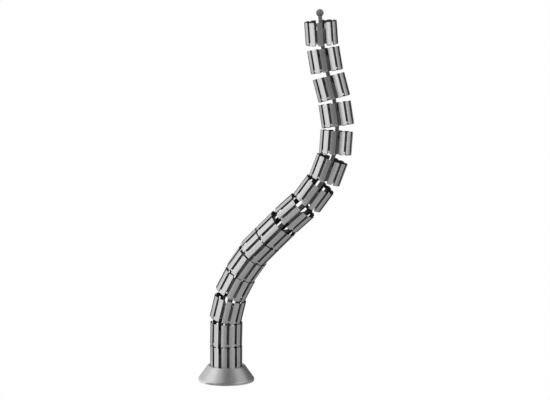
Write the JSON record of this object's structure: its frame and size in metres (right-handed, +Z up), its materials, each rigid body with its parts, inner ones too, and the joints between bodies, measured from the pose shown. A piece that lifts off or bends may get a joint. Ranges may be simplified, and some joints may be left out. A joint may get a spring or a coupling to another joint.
{
  "type": "cable spine",
  "caption": "Vertebra cable spine in an S curve: slotted round links on ball joints, with four cable chambers, rising from a weighted conical foot.",
  "frame": {"origin": "on the floor, at the middle of the foot's flat underside", "axes": "+Z up along the foot's axis; the chain swings out towards +X; the side seen in the picture is -Y"},
  "size_m": [0.2882, 0.1457, 0.7039],
  "materials": {
    "silver_moulding": "satin silver paint outside, dark moulding inside",
    "silver_cover": "satin silver paint",
    "cast_weight": "as cast",
    "pad_rubber": "matt",
    "stud_moulding": "satin",
    "screw_steel": "zinc plated"
  },
  "bodies": {
    "foot": {"foot_cover": "silver_cover", "foot_weight": "cast_weight", "foot_pad": "pad_rubber", "foot_stud": "stud_moulding", "stud_screw": "screw_steel"},
    "vertebra_01": {"vertebra_01": "silver_moulding"},
    "vertebra_02": {"vertebra_02": "silver_moulding"},
    "vertebra_03": {"vertebra_03": "silver_moulding"},
    "vertebra_04": {"vertebra_04": "silver_moulding"},
    "vertebra_05": {"vertebra_05": "silver_moulding"},
    "vertebra_06": {"vertebra_06": "silver_moulding"},
    "vertebra_07": {"vertebra_07": "silver_moulding"},
    "vertebra_08": {"vertebra_08": "silver_moulding"},
    "vertebra_09": {"vertebra_09": "silver_moulding"},
    "vertebra_10": {"vertebra_10": "silver_moulding"},
    "vertebra_11": {"vertebra_11": "silver_moulding"},
    "vertebra_12": {"vertebra_12": "silver_moulding"},
    "vertebra_13": {"vertebra_13": "silver_moulding"},
    "vertebra_14": {"vertebra_14": "silver_moulding"},
    "vertebra_15": {"vertebra_15": "silver_moulding"}
  },
  "joints": [
    {"name": "spine_swivel", "type": "hinge", "parent": "foot", "child": "vertebra_01", "pos_m": [0, 0, 0.038], "axis": [0, 0, 1], "continuous": true},
    {"name": "tilt_02", "type": "hinge", "parent": "vertebra_01", "child": "vertebra_02", "pos_m": [0, 0, 0.0827], "axis": [0, 1, 0], "range_deg": [-14.2, 11.8]},
    {"name": "tilt_03", "type": "hinge", "parent": "vertebra_02", "child": "vertebra_03", "pos_m": [0.00094, -0.00156, 0.12736], "axis": [0, 1, 0], "range_deg": [-28, 4]},
    {"name": "tilt_04", "type": "hinge", "parent": "vertebra_03", "child": "vertebra_04", "pos_m": [0.0117, -0.00527, 0.17327], "axis": [0, 1, 0], "range_deg": [-31.2, 4.8]},
    {"name": "tilt_05", "type": "hinge", "parent": "vertebra_04", "child": "vertebra_05", "pos_m": [0.03353, -0.01243, 0.21723], "axis": [0, 1, 0], "range_deg": [-20.2, 5.8]},
    {"name": "tilt_06", "type": "hinge", "parent": "vertebra_05", "child": "vertebra_06", "pos_m": [0.058, -0.02354, 0.25407], "axis": [0, 1, 0], "range_deg": [-21.8, 4.2]},
    {"name": "tilt_07", "type": "hinge", "parent": "vertebra_06", "child": "vertebra_07", "pos_m": [0.08735, -0.0361, 0.28621], "axis": [0, 1, 0], "range_deg": [-13.5, 12.5]},
    {"name": "tilt_08", "type": "hinge", "parent": "vertebra_07", "child": "vertebra_08", "pos_m": [0.11661, -0.04835, 0.3177], "axis": [0, 1, 0], "range_deg": [-21.3, 14.7]},
    {"name": "tilt_09", "type": "hinge", "parent": "vertebra_08", "child": "vertebra_09", "pos_m": [0.15312, -0.058, 0.35272], "axis": [0, 1, 0], "range_deg": [-7, 29]},
    {"name": "tilt_10", "type": "hinge", "parent": "vertebra_09", "child": "vertebra_10", "pos_m": [0.18339, -0.06352, 0.39562], "axis": [0, 1, 0], "range_deg": [-3.2, 32.8]},
    {"name": "tilt_11", "type": "hinge", "parent": "vertebra_10", "child": "vertebra_11", "pos_m": [0.20182, -0.06186, 0.44518], "axis": [0, 1, 0], "range_deg": [-1.8, 34.2]},
    {"name": "tilt_12", "type": "hinge", "parent": "vertebra_11", "child": "vertebra_12", "pos_m": [0.20566, -0.05524, 0.49743], "axis": [0, 1, 0], "range_deg": [-5.1, 30.9]},
    {"name": "tilt_13", "type": "hinge", "parent": "vertebra_12", "child": "vertebra_13", "pos_m": [0.19792, -0.04769, 0.54798], "axis": [0, 1, 0], "range_deg": [-11.9, 24.1]},
    {"name": "tilt_14", "type": "hinge", "parent": "vertebra_13", "child": "vertebra_14", "pos_m": [0.18515, -0.04003, 0.59634], "axis": [0, 1, 0], "range_deg": [-23.2, 12.8]},
    {"name": "tilt_15", "type": "hinge", "parent": "vertebra_14", "child": "vertebra_15", "pos_m": [0.17664, -0.03286, 0.64663], "axis": [0, 1, 0], "range_deg": [-23.6, 12.4]}
  ]
}
